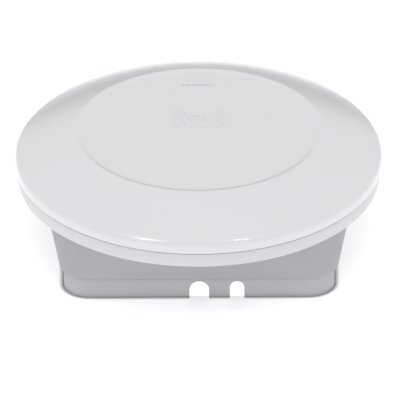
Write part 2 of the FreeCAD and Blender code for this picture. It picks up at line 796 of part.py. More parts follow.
def fasteners():
    head_face = "base_low + 3.2"
    piece("housing_screws", screws("housing_screw", four("boss_place", "boss_place"), head_face, "28",
                                   downwards=False))
    piece("board_screws", screws("board_screw", four("board_post_x", "board_post_y"),
                                 "board_low + board_thickness", "8"))
    piece("tray_screws", screws("tray_screw", four("standoff_x", "standoff_y"), "tray_low + tray_sheet", "6"))


def build():
    mounting_bracket()
    lock_studs()
    base_housing()
    rating_label()
    bezel_ring()
    top_cover()
    main_board()
    chip("processor", "0", "chips_y", "processor_width", "processor_width")
    chip("radio_chip_left", "-radio_x", "chips_y", "radio_width", "radio_width")
    chip("radio_chip_right", "radio_x", "chips_y", "radio_width", "radio_width")
    chip("memory_chip_left", "-8", "48", "11", "8", "1.2")
    chip("memory_chip_right", "8", "48", "11", "8", "1.2")
    shield_can("shield_can_left", "-radio_x")
    shield_can("shield_can_right", "radio_x")
    thermal_pads()
    heat_sink()
    heat_sink_pins()
    power_parts()
    antenna_tray()
    standoffs()
    antenna("antenna_right", 0, "30", "8.5")
    antenna("antenna_back", 90, "22", "6.5")
    antenna("antenna_left", 180, "30", "8.5")
    antenna("antenna_front", 270, "22", "6.5")
    antenna_leads()
    coax_sockets()
    light_parts()
    ethernet_jack()
    power_jack()
    reset_parts()
    fasteners()


def check():
    doc.recompute()
    for thing in doc.Objects:
        if {"Invalid", "Error"} & set(thing.State):
            raise RuntimeError("%s failed to compute: %s" % (thing.Label, thing.State))
    for thing in pieces:
        if thing.Shape.isNull() or not thing.Shape.isValid() or not thing.Shape.Solids:
            raise RuntimeError("%s has no valid solid" % thing.Label)


def write():
    os.makedirs("parts", exist_ok=True)
    for thing in pieces:
        thing.Shape.exportStep("parts/%s.step" % thing.Label)
        print("%-22s %3d solid(s) %10.1f mm3" % (thing.Label, len(thing.Shape.Solids), thing.Shape.Volume))


build()
check()
write()
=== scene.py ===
import bmesh
import bpy
from math import asin, atan2, cos, pi, radians, sin, sqrt
from mathutils import Matrix, Vector


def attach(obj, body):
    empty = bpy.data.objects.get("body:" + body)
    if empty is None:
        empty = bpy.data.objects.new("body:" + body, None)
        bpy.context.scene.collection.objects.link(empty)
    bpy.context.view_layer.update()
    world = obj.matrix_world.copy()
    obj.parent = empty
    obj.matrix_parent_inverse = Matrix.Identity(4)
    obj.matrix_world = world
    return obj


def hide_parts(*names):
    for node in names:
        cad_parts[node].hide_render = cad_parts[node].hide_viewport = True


# Ceiling access point: a glossy round cover on a matt square base, standing on its ceiling side.
# Everything is in metres, in the CAD frame: +Z up out of the cover, cable notches towards -Y.

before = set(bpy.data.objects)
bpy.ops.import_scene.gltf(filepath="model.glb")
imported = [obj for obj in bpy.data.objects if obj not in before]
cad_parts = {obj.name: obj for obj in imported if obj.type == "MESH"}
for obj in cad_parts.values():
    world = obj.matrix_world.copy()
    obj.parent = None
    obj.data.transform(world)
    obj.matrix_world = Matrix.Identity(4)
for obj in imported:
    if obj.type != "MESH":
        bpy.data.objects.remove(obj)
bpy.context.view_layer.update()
mm = 0.001
print("frame loaded:", len(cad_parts), "nodes")


# a hex colour as an artist picks it, turned to linear
def hexColour(text):
    parts = [int(text[i:i + 2], 16) / 255 for i in (0, 2, 4)]
    return [p / 12.92 if p <= 0.04045 else ((p + 0.055) / 1.055) ** 2.4 for p in parts] + [1.0]


# adds one node; settings are its own properties, values its unlinked sockets, links what feeds it
def addNode(tree, kind, settings={}, values={}, links={}):
    node = tree.nodes.new(kind)
    for name, value in settings.items():
        setattr(node, name, value)
    for name, value in values.items():
        node.inputs[name].default_value = value
    for name, source in links.items():
        tree.links.new(source, node.inputs[name])
    return node


# a material with its Principled shader and the object coordinates in metres
def startMaterial(name, values):
    material = bpy.data.materials.new(name)
    material.use_nodes = True
    tree = material.node_tree
    tree.nodes.clear()
    output = addNode(tree, "ShaderNodeOutputMaterial")
    shader = addNode(tree, "ShaderNodeBsdfPrincipled", values=values)
    tree.links.new(shader.outputs["BSDF"], output.inputs["Surface"])
    place = addNode(tree, "ShaderNodeTexCoord").outputs["Object"]
    return material, tree, shader, place


# noise whose features are about size millimetres across
def grain(tree, place, size, detail=3.0, roughness=0.5):
    noise = addNode(tree, "ShaderNodeTexNoise", values={"Scale": 1 / (size * mm), "Detail": detail,
                                                        "Roughness": roughness}, links={"Vector": place})
    return noise.outputs["Fac"]


# maps a 0..1 factor onto low..high
def spread(tree, factor, low, high):
    remap = addNode(tree, "ShaderNodeMapRange", values={"To Min": low, "To Max": high},
                    links={"Value": factor})
    return remap.outputs["Result"]


def mixColours(tree, factor, first, second):
    mix = addNode(tree, "ShaderNodeMix", settings={"data_type": "RGBA"}, links={"Factor": factor})
    mix.inputs["A"].default_value = hexColour(first)
    mix.inputs["B"].default_value = hexColour(second)
    return mix.outputs["Result"]


def addBump(tree, shader, height, depth, strength=1.0):
    bump = addNode(tree, "ShaderNodeBump", values={"Distance": depth * mm, "Strength": strength},
                   links={"Height": height})
    tree.links.new(bump.outputs["Normal"], shader.inputs["Normal"])


# a moulded or sheet surface: two close tones, uneven gloss and a grain in relief
def surface(name, look):
    values = {"Roughness": look["roughness"], "Metallic": look.get("metallic", 0.0)}
    if not look.get("metallic"):
        values["IOR"] = look.get("ior", 1.5)
    material, tree, shader, place = startMaterial(name, values)
    if "stretch" in look:
        mapping = addNode(tree, "ShaderNodeMapping", values={"Scale": look["stretch"]},
                          links={"Vector": place})
        place = mapping.outputs["Vector"]
    patches = grain(tree, place, look["patchSize"])
    tree.links.new(mixColours(tree, patches, look["tone"], look["otherTone"]), shader.inputs["Base Color"])
    gloss = grain(tree, place, look["glossSize"])
    spreadBy = look["glossSpread"]
    tree.links.new(spread(tree, gloss, look["roughness"] - spreadBy, look["roughness"] + spreadBy),
                   shader.inputs["Roughness"])
    addBump(tree, shader, grain(tree, place, look["grainSize"], 2.0), look["grainDepth"])
    for socket in ("Coat Weight", "Coat Roughness", "Transmission Weight", "Subsurface Weight"):
        if socket in look:
            shader.inputs[socket].default_value = look[socket]
    return material


looks = {
    # ABS moulded in a polished tool and lacquered: clean white, sharp but slightly rippled reflections
    "polishedWhiteAbs": {"tone": "E4E5E8", "otherTone": "E1E3E6", "patchSize": 60, "roughness": 0.24,
                         "glossSize": 25, "glossSpread": 0.02, "grainSize": 4.0, "grainDepth": 0.004,
                         "Coat Weight": 0.4, "Coat Roughness": 0.08},
    # the same ABS from an unpolished tool: softer highlights; its tone is set darker than the cover's as
    # painted shade on the ring's upright face
    "satinWhiteAbs": {"tone": "D7D9DC", "otherTone": "D4D6D9", "patchSize": 60, "roughness": 0.42,
                      "glossSize": 20, "glossSpread": 0.04, "grainSize": 0.6, "grainDepth": 0.01},
    # grey ABS from a spark-eroded tool: matt with a fine even grain, drawn coarser than its real 0.1 mm; its
    # tone is painted a shade darker than the bracket's, as painted shade under the cover's overhang
    "sparkErodedGreyAbs": {"tone": "ABADB1", "otherTone": "A7A9AD", "patchSize": 40, "roughness": 0.62,
                           "glossSize": 12, "glossSpread": 0.05, "grainSize": 0.7, "grainDepth": 0.03},
    # the same grey ABS, its tone painted paler as painted light on the bracket below the base, with a
    # slightly finer grain
    "paleGreyAbsPaintedLight": {"tone": "BABCBF", "otherTone": "B6B8BB", "patchSize": 40, "roughness": 0.58,
                    "glossSize": 12, "glossSpread": 0.05, "grainSize": 0.6, "grainDepth": 0.02},
    # zinc-plated steel screws and studs: bright, slightly blue and streaky
    "zincPlatedSteel": {"tone": "B4B6BA", "otherTone": "9DA0A6", "patchSize": 2, "roughness": 0.34,
                        "metallic": 1.0, "glossSize": 1, "glossSpread": 0.08, "grainSize": 0.3,
                        "grainDepth": 0.01},
    # tin-plated sheet steel: soft silver with cloudy patches
    "tinPlatedSteel": {"tone": "C6C6C3", "otherTone": "B2B3B1", "patchSize": 5, "roughness": 0.3,
                       "metallic": 1.0, "glossSize": 3, "glossSpread": 0.1, "grainSize": 0.5,
                       "grainDepth": 0.008},
    # coated paper label: matt and faintly fibrous
    "coatedPaper": {"tone": "E9E9E4", "otherTone": "E2E2DC", "patchSize": 3, "roughness": 0.7,
                    "glossSize": 2, "glossSpread": 0.06, "grainSize": 0.4, "grainDepth": 0.01},
    # epoxy moulding compound: near black, finely pitted
    "mouldedEpoxy": {"tone": "1D1E20", "otherTone": "26272A", "patchSize": 2, "roughness": 0.55,
                     "glossSize": 1, "glossSpread": 0.08, "grainSize": 0.3, "grainDepth": 0.02},
    # silicone gap pad: dull blue, putty-like
    "siliconePad": {"tone": "8FA3BE", "otherTone": "8499B5", "patchSize": 2, "roughness": 0.75,
                    "glossSize": 2, "glossSpread": 0.08, "grainSize": 0.6, "grainDepth": 0.04},
    # extruded aluminium: fine streaks along the extrusion
    "extrudedAluminium": {"tone": "C9CBCE", "otherTone": "B5B8BC", "patchSize": 1.2, "roughness": 0.38,
                          "metallic": 1.0, "glossSize": 1, "glossSpread": 0.08, "grainSize": 0.4,
                          "grainDepth": 0.01, "stretch": (1.0, 0.03, 1.0)},
    # natural nylon: milky white, a little waxy
    "naturalNylon": {"tone": "EDEBE2", "otherTone": "E4E1D6", "patchSize": 2, "roughness": 0.5,
                     "glossSize": 1, "glossSpread": 0.06, "grainSize": 0.4, "grainDepth": 0.01,
                     "Subsurface Weight": 0.1},
    # sintered ferrite: dark grey and granular
    "sinteredFerrite": {"tone": "303235", "otherTone": "3B3D40", "patchSize": 0.8, "roughness": 0.6,
                        "glossSize": 1, "glossSpread": 0.1, "grainSize": 0.3, "grainDepth": 0.03},
    # black glass-filled nylon of the sockets: satin with faint flow marks
    "blackNylon": {"tone": "18191A", "otherTone": "212224", "patchSize": 4, "roughness": 0.48,
                   "glossSize": 2, "glossSpread": 0.06, "grainSize": 0.4, "grainDepth": 0.015},
    # turned brass standoffs
    "turnedBrass": {"tone": "CDA85A", "otherTone": "B8924A", "patchSize": 1, "roughness": 0.28,
                    "metallic": 1.0, "glossSize": 1, "glossSpread": 0.08, "grainSize": 0.3,
                    "grainDepth": 0.01, "stretch": (0.05, 0.05, 1.0)},
    # stamped nickel silver antenna strip
    "nickelSilver": {"tone": "CFC7B0", "otherTone": "BDB59C", "patchSize": 3, "roughness": 0.3,
                     "metallic": 1.0, "glossSize": 2, "glossSpread": 0.08, "grainSize": 0.4,
                     "grainDepth": 0.008},
    # black fluoropolymer jacket of the coaxial leads
    "coaxJacket": {"tone": "1B1B1C", "otherTone": "232324", "patchSize": 1, "roughness": 0.4,
                   "glossSize": 1, "glossSpread": 0.06, "grainSize": 0.3, "grainDepth": 0.01},
    # gold flash on contacts
    "goldFlash": {"tone": "DDB45A", "otherTone": "CFA24A", "patchSize": 1, "roughness": 0.22,
                  "metallic": 1.0, "glossSize": 1, "glossSpread": 0.06, "grainSize": 0.3,
                  "grainDepth": 0.005},
    # drawn aluminium capacitor can
    "drawnAluminium": {"tone": "C3C5C8", "otherTone": "B1B4B8", "patchSize": 1, "roughness": 0.25,
                       "metallic": 1.0, "glossSize": 1, "glossSpread": 0.05, "grainSize": 0.4,
                       "grainDepth": 0.005, "stretch": (1.0, 1.0, 0.05)},
    # silicone lens of the indicator LED
    "ledSilicone": {"tone": "EDE6C0", "otherTone": "E7DEAE", "patchSize": 1, "roughness": 0.35,
                    "glossSize": 1, "glossSpread": 0.05, "grainSize": 0.3, "grainDepth": 0.01,
                    "Transmission Weight": 0.2},
    # frosted acrylic light guide: cool white, a little see-through
    "frostedAcrylic": {"tone": "E2E5E8", "otherTone": "DDE1E5", "patchSize": 6, "roughness": 0.4,
                       "ior": 1.49, "glossSize": 2, "glossSpread": 0.05, "grainSize": 0.5,
                       "grainDepth": 0.01, "Subsurface Weight": 0.2},
}
finish = {name: surface(name, look) for name, look in looks.items()}


# green solder mask over copper: darker lines where the tracks run under it
def solderMask():
    material, tree, shader, place = startMaterial("greenSolderMask", {"Roughness": 0.35, "IOR": 1.5})
    tracks = addNode(tree, "ShaderNodeTexBrick", settings={"offset": 0.37, "squash": 1.6},
                     values={"Scale": 1 / (9 * mm), "Mortar Size": 0.045, "Mortar Smooth": 0.1},
                     links={"Vector": place})
    for socket, tone in (("Color1", "17593A"), ("Color2", "1A6341"), ("Mortar", "2A8157")):
        tracks.inputs[socket].default_value = hexColour(tone)
    tree.links.new(tracks.outputs["Color"], shader.inputs["Base Color"])
    addBump(tree, shader, tracks.outputs["Fac"], 0.03)
    return material


finish["greenSolderMask"] = solderMask()
print("materials ready:", len(finish))

nodeFinish = {
    "polishedWhiteAbs": ["top_cover"],
    "satinWhiteAbs": ["bezel_ring"],
    "sparkErodedGreyAbs": ["base_housing"],
    "paleGreyAbsPaintedLight": ["mounting_bracket"],
    "zincPlatedSteel": ["lock_studs", "housing_screws", "board_screws", "tray_screws"],
    "tinPlatedSteel": ["shield_can_left", "shield_can_right", "ethernet_jack", "power_pin", "clock_crystal"],
    "coatedPaper": ["blank_label"],
    "mouldedEpoxy": ["processor", "radio_chip_left", "radio_chip_right", "memory_chip_left",
                     "memory_chip_right", "flash_chip"],
    "siliconePad": ["thermal_pads"],
    "extrudedAluminium": ["heat_sink", "antenna_tray"],
    "naturalNylon": ["heat_sink_pins"],
    "sinteredFerrite": ["power_inductors", "power_transformer"],
    "blackNylon": ["network_transformer", "power_jack", "reset_button", "reset_switch"],
    "turnedBrass": ["tray_standoffs"],
    "nickelSilver": ["antenna_right", "antenna_back", "antenna_left", "antenna_front"],
    "coaxJacket": ["antenna_leads"],
    "goldFlash": ["coax_sockets", "ethernet_contacts"],
    "drawnAluminium": ["capacitors"],
    "ledSilicone": ["status_led"],
    "frostedAcrylic": ["light_pipe"],
    "greenSolderMask": ["main_board"],
}
for name, nodes in nodeFinish.items():
    for node in nodes:
        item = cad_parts[node]
        item.data.materials.clear()
        item.data.materials.append(finish[name])
print("CAD nodes finished")

# shared modelling steps; shapes are made in millimetres and scaled once at the end
touching = 0.01  # heights and radii this close count as the same, mm
welded = 0.0005  # points this close become one, mm


def ringOf(bm, radius, z, count):
    before = set(bm.verts)
    bmesh.ops.create_circle(bm, segments=count, radius=radius, matrix=Matrix.Translation((0, 0, z)))
    return loopEdges(bm, before)


# a square loop with its corners rounded
def squareLoop(bm, half, corner, z, steps):
    before = set(bm.verts)
    turned = Matrix.Translation((0, 0, z)) @ Matrix.Rotation(pi / 4, 4, "Z")
    bmesh.ops.create_circle(bm, segments=4, radius=half * sqrt(2), matrix=turned)
    fresh = [vert for vert in bm.verts if vert not in before]
    bmesh.ops.bevel(bm, geom=fresh, offset=corner, offset_type="OFFSET", affect="VERTICES", segments=steps,
                    profile=0.5, material=-1)
    return loopEdges(bm, before)


def loopEdges(bm, before):
    return list({edge for vert in bm.verts if vert not in before for edge in vert.link_edges})


def bridgeAll(bm, loops):
    for first, second in zip(loops, loops[1:]):
        bmesh.ops.bridge_loops(bm, edges=first + second)


# the points between start and end on an arc whose centre lies to the right of the way
def arcPoints(start, end, radius, count):
    first, last = Vector(start), Vector(end)
    chord = last - first
    across = Vector((chord.y, -chord.x)).normalized()
    centre = (first + last) / 2 + across * sqrt(radius ** 2 - (chord.length / 2) ** 2)
    a0 = atan2(first.y - centre.y, first.x - centre.x)
    sweep = 2 * asin(chord.length / 2 / radius)
    steps = [a0 - sweep * i / count for i in range(1, count)]
    return [(centre.x + radius * cos(a), centre.y + radius * sin(a)) for a in steps]


# turns a profile of (radius, height) right round the z axis
def turnProfile(bm, points, steps):
    before = set(bm.verts)
    verts = [bm.verts.new((r, 0, z)) for r, z in points]
    edges = [bm.edges.new(pair) for pair in zip(verts, verts[1:])]
    bmesh.ops.spin(bm, geom=verts + edges, cent=(0, 0, 0), axis=(0, 0, 1), angle=2 * pi, steps=steps,
                   use_merge=True)
    fresh = [vert for vert in bm.verts if vert not in before]
    bmesh.ops.remove_doubles(bm, verts=fresh, dist=welded)
    return [vert for vert in bm.verts if vert not in before]


def faceUp(bm):
    bmesh.ops.recalc_face_normals(bm, faces=bm.faces)


# makes a pocket or a boss: the faces move by rise along z and walls follow them
def pushFaces(bm, faces, rise):
    moved = bmesh.ops.extrude_face_region(bm, geom=faces)["geom"]
    bmesh.ops.delete(bm, geom=faces, context="FACES_ONLY")
    verts = [part for part in moved if isinstance(part, bmesh.types.BMVert)]
    bmesh.ops.translate(bm, vec=(0, 0, rise), verts=verts)


# edges of horizontal circles of one radius, to be rounded
def circleEdges(bm, radius):
    def onIt(vert):
        return abs(sqrt(vert.co.x ** 2 + vert.co.y ** 2) - radius) < touching
    return [edge for edge in bm.edges if all(onIt(vert) for vert in edge.verts)
            and abs(edge.verts[0].co.z - edge.verts[1].co.z) < touching]


def roundOff(bm, edges, width, segments=3):
    bmesh.ops.bevel(bm, geom=edges, offset=width, offset_type="OFFSET", affect="EDGES", segments=segments,
                    profile=0.5, material=-1, clamp_overlap=True)


def addBlock(bm, low, high):
    size = Vector(high) - Vector(low)
    middle = (Vector(high) + Vector(low)) / 2
    made = bmesh.ops.create_cube(bm, size=1, matrix=Matrix.Translation(middle) @ Matrix.Diagonal((*size, 1)))
    return made["verts"]


# an upright rod from low to high
def addRod(bm, x, y, low, high, radius, segments=32):
    place = Matrix.Translation((x, y, (low + high) / 2))
    made = bmesh.ops.create_cone(bm, cap_ends=True, segments=segments, radius1=radius, radius2=radius,
                                 depth=high - low, matrix=place)
    return made["verts"]


# a rod that runs towards +Y
def addRodBack(bm, x, z, front, back, radius, segments=32):
    place = Matrix.Translation((x, (front + back) / 2, z)) @ Matrix.Rotation(-pi / 2, 4, "X")
    made = bmesh.ops.create_cone(bm, cap_ends=True, segments=segments, radius1=radius, radius2=radius,
                                 depth=back - front, matrix=place)
    return made["verts"]


def corners(x, y):
    return [(x, y), (-x, y), (-x, -y), (x, -y)]


def makeObject(bm, name):
    mesh = bpy.data.meshes.new(name)
    bm.to_mesh(mesh)
    bm.free()
    item = bpy.data.objects.new(name, mesh)
    bpy.context.collection.objects.link(item)
    return item


# cuts away or adds each tool, in order, and keeps the resulting mesh
def combine(item, tools, operation="DIFFERENCE"):
    for tool in tools:
        step = item.modifiers.new("step", "BOOLEAN")
        step.operation = operation
        step.solver = "EXACT"
        step.use_self = True
        step.object = tool
    bpy.context.view_layer.update()
    evaluated = item.evaluated_get(bpy.context.evaluated_depsgraph_get())
    mesh = bpy.data.meshes.new_from_object(evaluated)
    item.modifiers.clear()
    old = item.data
    item.data = mesh
    bpy.data.meshes.remove(old)
    for tool in tools:
        bpy.data.meshes.remove(tool.data)


def toolObject(build):
    bm = bmesh.new()
    build(bm)
    faceUp(bm)
    return makeObject(bm, "tool")


# millimetres to metres, smooth shading with crisp corners, material, body and the CAD nodes it stands for
def finishPiece(item, material, body, nodes, sharp=32):
    bm = bmesh.new()
    bm.from_mesh(item.data)
    bmesh.ops.remove_doubles(bm, verts=bm.verts, dist=welded)
    bmesh.ops.scale(bm, vec=(mm, mm, mm), verts=bm.verts)
    for face in bm.faces:
        face.smooth = True
    bm.to_mesh(item.data)
    bm.free()
    item.data.set_sharp_from_angle(angle=radians(sharp))
    item.data.materials.clear()
    item.data.materials.append(finish[material])
    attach(item, body)
    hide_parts(*nodes)
    print("made", item.name, len(item.data.polygons), "faces")


# round cover
coverDesign = {"radius": 100.0, "wall": 2.4, "low": 42.1, "edgeTop": 46.2, "edgeRound": 4.0,
               "domeRadius": 128.0,
               "rimRadius": 66.8, "rimHeight": 62.45, "dishRadius": 64.4, "dishSphere": 2592.0,
               "rimRound": 1.1, "turns": 240, "postPlace": 58.0, "postRadius": 4.0, "postLow": 33.4,
               "postHole": 1.6, "holeDeep": 12.0, "lowChamfer": 0.5}
emblemDesign = {"y": 12.0, "line": 1.6, "low": 61.6, "top": 62.75, "halfAngle": 42, "rings": 3, "pitch": 4.8,
                "dotRadius": 2.24, "soften": 0.25}
lightDesign = {"y": 49.4, "length": 14.0, "width": 1.6, "play": 0.15, "dotRadius": 0.5, "dotGap": 1.6}


# the cover's outline from the middle of the dish out to its lower edge, moved inwards by wall
def coverOutline(design, wall):
    edge = design["radius"] - wall
    edgeRound = design["edgeRound"] - wall / 2
    top = design["rimHeight"] - wall
    dish = []
    for i in range(9):
        r = design["dishRadius"] * i / 8
        dish.append((r, top - design["dishSphere"] + sqrt(design["dishSphere"] ** 2 - r ** 2)))
    rim = (design["rimRadius"], top)
    shoulder = (edge - edgeRound + edgeRound * cos(pi / 3), design["edgeTop"] + edgeRound * sin(pi / 3))
    dome = arcPoints(rim, shoulder, design["domeRadius"], 16)
    turn = [(edge - edgeRound + edgeRound * cos(a), design["edgeTop"] + edgeRound * sin(a))
            for a in (pi / 3 * (1 - i / 6) for i in range(7))]
    return dish + [rim] + dome + turn


def lightBarTool(bm, design, low, high, play):
    reach = (design["length"] - design["width"]) / 2
    half = design["width"] / 2 + play
    addBlock(bm, (-reach, design["y"] - half, low), (reach, design["y"] + half, high))
    for side in (1, -1):
        addRod(bm, side * reach, design["y"], low, high, half, 24)


def makeCover():
    design, light, emblem = coverDesign, lightDesign, emblemDesign
    bm = bmesh.new()
    outer = coverOutline(design, 0) + [(design["radius"], design["low"] + design["lowChamfer"]),
                                       (design["radius"] - design["lowChamfer"], design["low"])]
    inner = coverOutline(design, design["wall"])
    inner.append((design["radius"] - design["wall"], design["low"]))
    turnProfile(bm, outer + inner[::-1], design["turns"])
    faceUp(bm)
    outerRims = [edge for radius in (design["rimRadius"], design["dishRadius"])
                 for edge in circleEdges(bm, radius) if edge.verts[0].co.z > design["rimHeight"] - 1.5]
    roundOff(bm, outerRims, design["rimRound"], 4)
    cover = makeObject(bm, "topCover")

    def slot(tool):
        lightBarTool(tool, light, design["rimHeight"] - 6, design["rimHeight"] + 4, light["play"])

    def dots(tool):
        for side in (1, -1):
            addRod(tool, side * (light["length"] / 2 + light["dotGap"]), light["y"], design["rimHeight"] - 2,
                   design["rimHeight"] + 2, light["dotRadius"], 16)
    combine(cover, [toolObject(slot), toolObject(dots)])

    bm = bmesh.new()
    bm.from_mesh(cover.data)
    for ring in range(1, emblem["rings"] + 1):
        for side in (0, pi):
            addWave(bm, emblem, ring, side)
    dot = addRod(bm, 0, emblem["y"], emblem["low"], emblem["top"], emblem["dotRadius"], 40)
    rounded = [edge for edge in loopOf(dot)
               if min(vert.co.z for vert in edge.verts) > emblem["top"] - touching]
    roundOff(bm, rounded, emblem["soften"], 2)
    for x, y in corners(design["postPlace"], design["postPlace"]):
        addPost(bm, design, x, y)
    bm.to_mesh(cover.data)
    bm.free()
    finishPiece(cover, "polishedWhiteAbs", "access_point", ["top_cover"], 28)


def loopOf(verts):
    return list({edge for vert in verts if vert.is_valid for edge in vert.link_edges})


# one arc of the radio-wave sign: a strip swept round the dot, thickened and softened along its top
def addWave(bm, emblem, ring, side):
    before = set(bm.verts)
    radius = ring * emblem["pitch"]
    half = emblem["line"] / 2
    start = side - radians(emblem["halfAngle"])
    ends = [bm.verts.new(((radius + d) * cos(start), emblem["y"] + (radius + d) * sin(start), emblem["top"]))
            for d in (-half, half)]
    edge = bm.edges.new(ends)
    bmesh.ops.spin(bm, geom=ends + [edge], cent=(0, emblem["y"], 0), axis=(0, 0, 1),
                   angle=2 * radians(emblem["halfAngle"]), steps=28)
    fresh = [vert for vert in bm.verts if vert not in before]
    faces = list({face for vert in fresh for face in vert.link_faces})
    for face in faces:
        if face.normal.z < 0:
            face.normal_flip()
    bmesh.ops.solidify(bm, geom=faces, thickness=emblem["top"] - emblem["low"])
    fresh = [vert for vert in bm.verts if vert not in before]
    top = [edge for edge in loopOf(fresh) if min(vert.co.z for vert in edge.verts) > emblem["top"] - touching
           and sum(abs(face.normal.z) < 0.5 for face in edge.link_faces) == 1]
    roundOff(bm, top, emblem["soften"], 2)


# height of the dome's outer surface at a distance from the middle, read off the outline
def domeHeight(design, distance):
    line = coverOutline(design, 0)
    for (r0, z0), (r1, z1) in zip(line, line[1:]):
        if r0 <= distance <= r1:
            return z0 + (z1 - z0) * (distance - r0) / (r1 - r0)


# a hollow screw post under the cover, its top buried in the middle of the dome's wall
def addPost(bm, design, x, y):
    top = design["edgeTop"]
    post = addRod(bm, x, y, design["postLow"], top, design["postRadius"])
    for vert in post:
        if vert.co.z > top - touching:
            vert.co.z = domeHeight(design, sqrt(vert.co.x ** 2 + vert.co.y ** 2)) - design["wall"] / 2
    under = [face for face in {f for vert in post for f in vert.link_faces}
             if all(vert.co.z < design["postLow"] + touching for vert in face.verts)]
    bmesh.ops.inset_region(bm, faces=under, thickness=design["postRadius"] - design["postHole"])
    pushFaces(bm, under, design["holeDeep"])


# white ring under the cover
ringDesign = {"lowRadius": 98.5, "highRadius": 99.3, "low": 33.4, "high": 41.6, "floor": 2.0, "wall": 2.4,
              "lipHigh": 44.0, "lipWall": 1.6, "windowHalf": 76.5, "windowCorner": 40.0, "softEdge": 0.7,
              "topEdge": 0.3, "turns": 240}


def makeRing():
    design = ringDesign
    bm = bmesh.new()
    inside = design["highRadius"] - design["wall"]
    stack = [(design["lowRadius"], design["low"]), (design["highRadius"], design["high"]),
             (inside, design["high"]), (inside, design["lipHigh"]),
             (inside - design["lipWall"], design["lipHigh"]),
             (inside - design["lipWall"], design["low"] + design["floor"])]
    steps = design["turns"] // 4 - 1
    first = squareLoop(bm, design["windowHalf"], design["windowCorner"], design["low"], steps)
    loops = [first] + [ringOf(bm, radius, z, design["turns"]) for radius, z in stack]
    loops.append(squareLoop(bm, design["windowHalf"], design["windowCorner"], design["low"] + design["floor"],
                            steps))
    bridgeAll(bm, loops + [first])
    faceUp(bm)
    roundOff(bm, circleEdges(bm, design["lowRadius"]), design["softEdge"], 4)
    roundOff(bm, circleEdges(bm, design["highRadius"]), design["topEdge"], 3)
    finishPiece(makeObject(bm, "bezelRing"), "satinWhiteAbs", "access_point", ["bezel_ring"])


# tapered base
baseDesign = {"low": 11.3, "high": 33.4, "lowHalf": 75.8, "lowCorner": 17.0, "highHalf": 82.0,
              "highCorner": 44.0,
              "footRound": 2.2, "wall": 2.4, "floor": 2.2, "cornerSteps": 24, "postPlace": 58.0,
              "headRadius": 3.1, "headDepth": 3.2, "holeRadius": 1.6,
              "bayLeft": -22.0, "bayRight": 27.5, "bayFront": -67.5, "bayBack": -38.0, "bayTop": 29.4,
              "bayWall": 2.0, "bayRoof": 1.4, "postRadius": 4.5, "boardPostX": 57.0, "boardPostY": 18.0,
              "boardPostRadius": 3.5, "boardHoleDeep": 9.0, "shortOfTop": 0.4, "innerSpread": 0.4,
              "innerCornerSpread": 2.0}
lockDesign = {"place": 64.0, "angle": 45.0, "twist": 10.0, "studRadius": 2.0, "headRadius": 4.0,
              "headHeight": 2.5, "play": 0.3, "footLow": 2.0, "footWiden": 1.5, "footHeight": 1.2,
              "footSoft": 0.3, "headSoft": 0.6, "studSides": 40}
socketDesign = {"jackWidth": 16.0, "jackHeight": 13.5, "powerX": 20.5, "powerWidth": 9.5, "powerHeight": 11.0,
                "boardLow": 31.0, "buttonX": -15.0, "buttonZ": 22.5, "buttonRadius": 1.9,
                "sidePlay": 0.15, "lowPlay": 0.2, "highPlay": 0.8, "buttonPlay": 0.3}


def keyholeTool(bm, lock, quarter, low, high):
    half = lock["studRadius"] + lock["play"]
    start = radians(lock["angle"] - lock["twist"] + quarter)
    end = radians(lock["angle"] + quarter)
    before = set(bm.verts)
    ends = [bm.verts.new(((lock["place"] + d) * cos(start), (lock["place"] + d) * sin(start), high))
            for d in (-half, half)]
    edge = bm.edges.new(ends)
    bmesh.ops.spin(bm, geom=ends + [edge], cent=(0, 0, 0), axis=(0, 0, 1), angle=end - start, steps=8)
    faces = list({face for vert in bm.verts if vert not in before for face in vert.link_faces})
    for face in faces:
        if face.normal.z < 0:
            face.normal_flip()
    bmesh.ops.solidify(bm, geom=faces, thickness=high - low)
    for angle, radius in ((end, half), (start, lock["headRadius"] + lock["play"])):
        addRod(bm, lock["place"] * cos(angle), lock["place"] * sin(angle), low, high, radius, 40)


